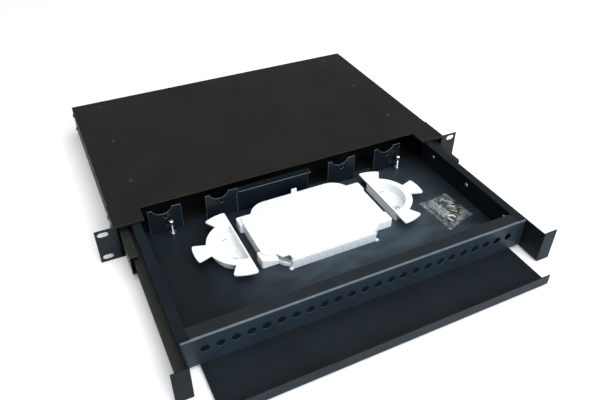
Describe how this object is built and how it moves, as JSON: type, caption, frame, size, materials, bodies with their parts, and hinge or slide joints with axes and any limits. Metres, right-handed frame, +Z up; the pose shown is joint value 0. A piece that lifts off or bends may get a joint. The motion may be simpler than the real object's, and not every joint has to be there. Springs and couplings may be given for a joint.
{
  "type": "fiber termination box",
  "caption": "Flat rack-mounted steel sleeve with a pull-out drawer that holds a splice tray, half-round fibre spools and a row of round adapter ports.",
  "frame": {"origin": "centre of the four rack slots, in the front face of the rack ears", "axes": "+X to the right as seen from the front, +Y to the back into the rack, +Z up"},
  "size_m": [0.4826, 0.5396, 0.044],
  "materials": {
    "powder_black": "fine-textured satin powder coat",
    "panel_black": "satin powder coat",
    "slide_steel": "black-passivated slide steel",
    "cage_steel": "plated strip with polished balls",
    "fastener_black": "black oxide",
    "fastener_zinc": "bright zinc plate",
    "white_abs": "moulded, fine matt",
    "grommet_rubber": "matt",
    "clear_film": "thin clear film"
  },
  "bodies": {
    "sleeve": {"sleeve_base": "powder_black", "top_cover": "powder_black", "cover_screws": "fastener_black", "rear_panel": "powder_black", "rear_panel_screws": "fastener_black", "cable_grommets": "grommet_rubber", "rack_ear_left": "powder_black", "rack_ear_right": "powder_black", "ear_screws": "fastener_black", "slide_outer_left": "slide_steel", "slide_outer_right": "slide_steel", "outer_slide_rivets": "fastener_black"},
    "drawer": {"drawer_floor": "panel_black", "drawer_side_left": "panel_black", "drawer_side_right": "panel_black", "adapter_panel": "panel_black", "rear_wall": "panel_black", "cable_saddles": "panel_black", "anchor_posts": "fastener_zinc", "slide_inner_left": "slide_steel", "slide_inner_right": "slide_steel", "inner_slide_rivets": "fastener_zinc", "splice_tray": "white_abs", "splice_holders": "white_abs", "half_moon_left": "white_abs", "half_moon_right": "white_abs", "tray_screws": "fastener_zinc", "accessory_bag": "clear_film"},
    "tray_lid": {"splice_tray_lid": "white_abs"},
    "middle_slide_left": {"slide_middle_left": "slide_steel"},
    "fixed_cage_left": {"fixed_ball_cage_left": "cage_steel"},
    "moving_cage_left": {"moving_ball_cage_left": "cage_steel"},
    "middle_slide_right": {"slide_middle_right": "slide_steel"},
    "fixed_cage_right": {"fixed_ball_cage_right": "cage_steel"},
    "moving_cage_right": {"moving_ball_cage_right": "cage_steel"}
  },
  "joints": [
    {"name": "drawer_slide", "type": "slide", "parent": "sleeve", "child": "drawer", "axis": [0, 1, 0], "range_m": [0, 0.208]},
    {"name": "lid_lift", "type": "slide", "parent": "drawer", "child": "tray_lid", "axis": [0, 0, 1], "range_m": [0, 0.02]},
    {"name": "middle_slide_left_run", "type": "slide", "parent": "sleeve", "child": "middle_slide_left", "axis": [0, 1, 0], "range_m": [0, 0.104]},
    {"name": "fixed_cage_left_run", "type": "slide", "parent": "sleeve", "child": "fixed_cage_left", "axis": [0, 1, 0], "range_m": [0, 0.052]},
    {"name": "moving_cage_left_run", "type": "slide", "parent": "sleeve", "child": "moving_cage_left", "axis": [0, 1, 0], "range_m": [0, 0.156]},
    {"name": "middle_slide_right_run", "type": "slide", "parent": "sleeve", "child": "middle_slide_right", "axis": [0, 1, 0], "range_m": [0, 0.104]},
    {"name": "fixed_cage_right_run", "type": "slide", "parent": "sleeve", "child": "fixed_cage_right", "axis": [0, 1, 0], "range_m": [0, 0.052]},
    {"name": "moving_cage_right_run", "type": "slide", "parent": "sleeve", "child": "moving_cage_right", "axis": [0, 1, 0], "range_m": [0, 0.156]}
  ],
  "couplings": [
    {"joint": "middle_slide_left_run", "follows": "drawer_slide", "ratio": 0.5},
    {"joint": "fixed_cage_left_run", "follows": "drawer_slide", "ratio": 0.25},
    {"joint": "moving_cage_left_run", "follows": "drawer_slide", "ratio": 0.75},
    {"joint": "middle_slide_right_run", "follows": "drawer_slide", "ratio": 0.5},
    {"joint": "fixed_cage_right_run", "follows": "drawer_slide", "ratio": 0.25},
    {"joint": "moving_cage_right_run", "follows": "drawer_slide", "ratio": 0.75}
  ]
}
